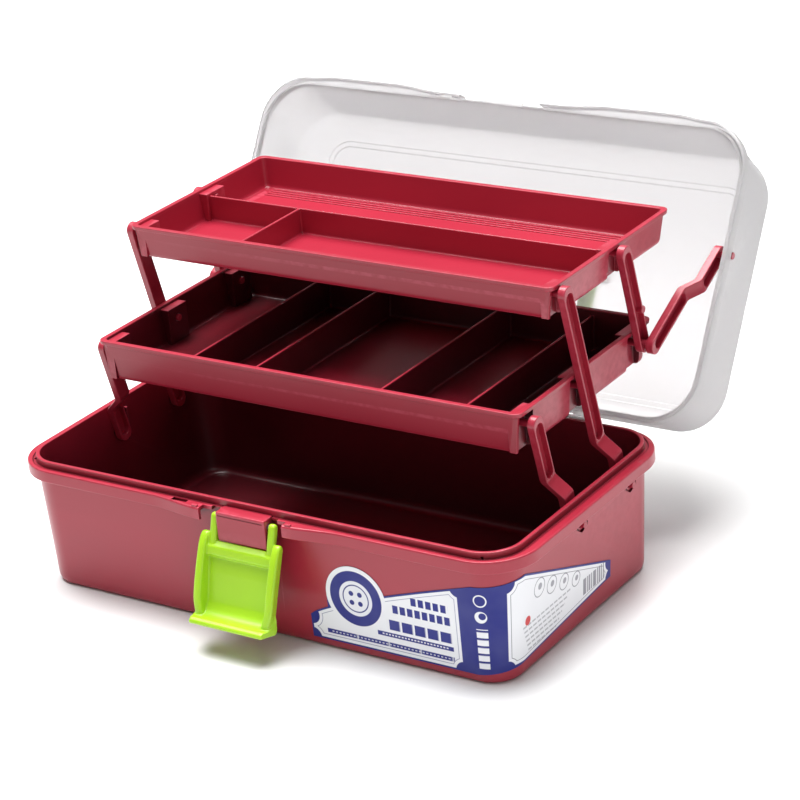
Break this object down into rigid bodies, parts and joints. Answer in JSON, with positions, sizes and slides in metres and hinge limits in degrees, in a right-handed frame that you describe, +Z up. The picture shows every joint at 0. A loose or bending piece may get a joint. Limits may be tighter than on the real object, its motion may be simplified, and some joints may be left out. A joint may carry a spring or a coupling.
{
  "type": "sewing box with trays",
  "caption": "Open plastic sewing box with a hinged lid, cantilever trays that rise on linked arms, a snap latch and a folding carry handle.",
  "frame": {"origin": "middle of the base's underside, on the surface the box stands on", "axes": "+Z up, +X to the right along the box seen from the latch side, +Y to the hinge side"},
  "size_m": [0.33, 0.3446, 0.2189],
  "materials": {
    "burgundy_plastic": "glossy moulded polypropylene",
    "milky_plastic": "milky translucent moulded polypropylene",
    "lime_plastic": "satin moulded polypropylene",
    "label_film": "printed glossy film",
    "pin_steel": "plain drawn steel"
  },
  "bodies": {
    "root": {"base_shell": "burgundy_plastic", "corner_label": "label_film", "latch_pin": "pin_steel", "hinge_pin_right": "pin_steel", "hinge_pin_left": "pin_steel"},
    "lid": {"lid_shell": "milky_plastic"},
    "carry_handle": {"carry_handle": "lime_plastic"},
    "latch": {"latch": "lime_plastic"},
    "lower_tray": {"lower_tray": "burgundy_plastic"},
    "upper_tray": {"upper_tray": "burgundy_plastic"},
    "front_arm_right": {"front_arm_right": "burgundy_plastic"},
    "long_arm_right": {"long_arm_right": "burgundy_plastic"},
    "upper_arm_right": {"upper_arm_right": "burgundy_plastic"},
    "lid_link_right": {"lid_link_right": "burgundy_plastic"},
    "front_arm_left": {"front_arm_left": "burgundy_plastic"},
    "long_arm_left": {"long_arm_left": "burgundy_plastic"},
    "upper_arm_left": {"upper_arm_left": "burgundy_plastic"},
    "lid_link_left": {"lid_link_left": "burgundy_plastic"}
  },
  "joints": [
    {"name": "lid_hinge", "type": "hinge", "parent": "root", "child": "lid", "pos_m": [0, 0.0938, 0.0686], "axis": [1, 0, 0], "range_deg": [0, 122.4]},
    {"name": "long_arm_right_pivot", "type": "hinge", "parent": "root", "child": "long_arm_right", "pos_m": [0.155, 0.0513, 0.06], "axis": [1, 0, 0], "range_deg": [0, 46.55]},
    {"name": "front_arm_right_pivot", "type": "hinge", "parent": "root", "child": "front_arm_right", "pos_m": [0.155, -0.0012, 0.06], "axis": [1, 0, 0], "range_deg": [0, 46.55]},
    {"name": "long_arm_left_pivot", "type": "hinge", "parent": "root", "child": "long_arm_left", "pos_m": [-0.155, 0.0513, 0.06], "axis": [1, 0, 0], "range_deg": [0, 46.55]},
    {"name": "front_arm_left_pivot", "type": "hinge", "parent": "root", "child": "front_arm_left", "pos_m": [-0.155, -0.0012, 0.06], "axis": [1, 0, 0], "range_deg": [0, 46.55]},
    {"name": "lower_tray_pivot", "type": "hinge", "parent": "long_arm_right", "child": "lower_tray", "pos_m": [0.134, 0.03609, 0.121], "axis": [1, 0, 0], "range_deg": [-46.55, 0]},
    {"name": "upper_tray_pivot", "type": "hinge", "parent": "long_arm_right", "child": "upper_tray", "pos_m": [0.134, 0.02176, 0.1785], "axis": [1, 0, 0], "range_deg": [-46.55, 0]},
    {"name": "upper_arm_right_pivot", "type": "hinge", "parent": "lower_tray", "child": "upper_arm_right", "pos_m": [0.134, 0.0984, 0.121], "axis": [1, 0, 0], "range_deg": [0, 46.55]},
    {"name": "upper_arm_left_pivot", "type": "hinge", "parent": "lower_tray", "child": "upper_arm_left", "pos_m": [-0.134, 0.0984, 0.121], "axis": [1, 0, 0], "range_deg": [0, 46.55]},
    {"name": "lid_link_right_pivot", "type": "hinge", "parent": "lid", "child": "lid_link_right", "pos_m": [0.161, 0.16507, 0.15105], "axis": [1, 0, 0], "range_deg": [0, 38.38]},
    {"name": "lid_link_left_pivot", "type": "hinge", "parent": "lid", "child": "lid_link_left", "pos_m": [-0.161, 0.16507, 0.15105], "axis": [1, 0, 0], "range_deg": [0, 38.38]},
    {"name": "latch_hinge", "type": "hinge", "parent": "root", "child": "latch", "pos_m": [0, -0.0862, 0.0696], "axis": [1, 0, 0], "range_deg": [-157, 12]},
    {"name": "handle_hinge", "type": "hinge", "parent": "lid", "child": "carry_handle", "pos_m": [0, 0.20021, 0.11217], "axis": [1, 0, 0], "range_deg": [0, 95]}
  ],
  "couplings": [
    {"joint": "long_arm_right_pivot", "follows": "lid_hinge", "ratio": 0.3799},
    {"joint": "front_arm_right_pivot", "follows": "lid_hinge", "ratio": 0.3799},
    {"joint": "long_arm_left_pivot", "follows": "lid_hinge", "ratio": 0.3799},
    {"joint": "front_arm_left_pivot", "follows": "lid_hinge", "ratio": 0.3799},
    {"joint": "lower_tray_pivot", "follows": "lid_hinge", "ratio": -0.3799},
    {"joint": "upper_tray_pivot", "follows": "lid_hinge", "ratio": -0.3799},
    {"joint": "upper_arm_right_pivot", "follows": "lid_hinge", "ratio": 0.3799},
    {"joint": "upper_arm_left_pivot", "follows": "lid_hinge", "ratio": 0.3799},
    {"joint": "lid_link_right_pivot", "follows": "lid_hinge", "ratio": 0.31312},
    {"joint": "lid_link_left_pivot", "follows": "lid_hinge", "ratio": 0.31312}
  ]
}
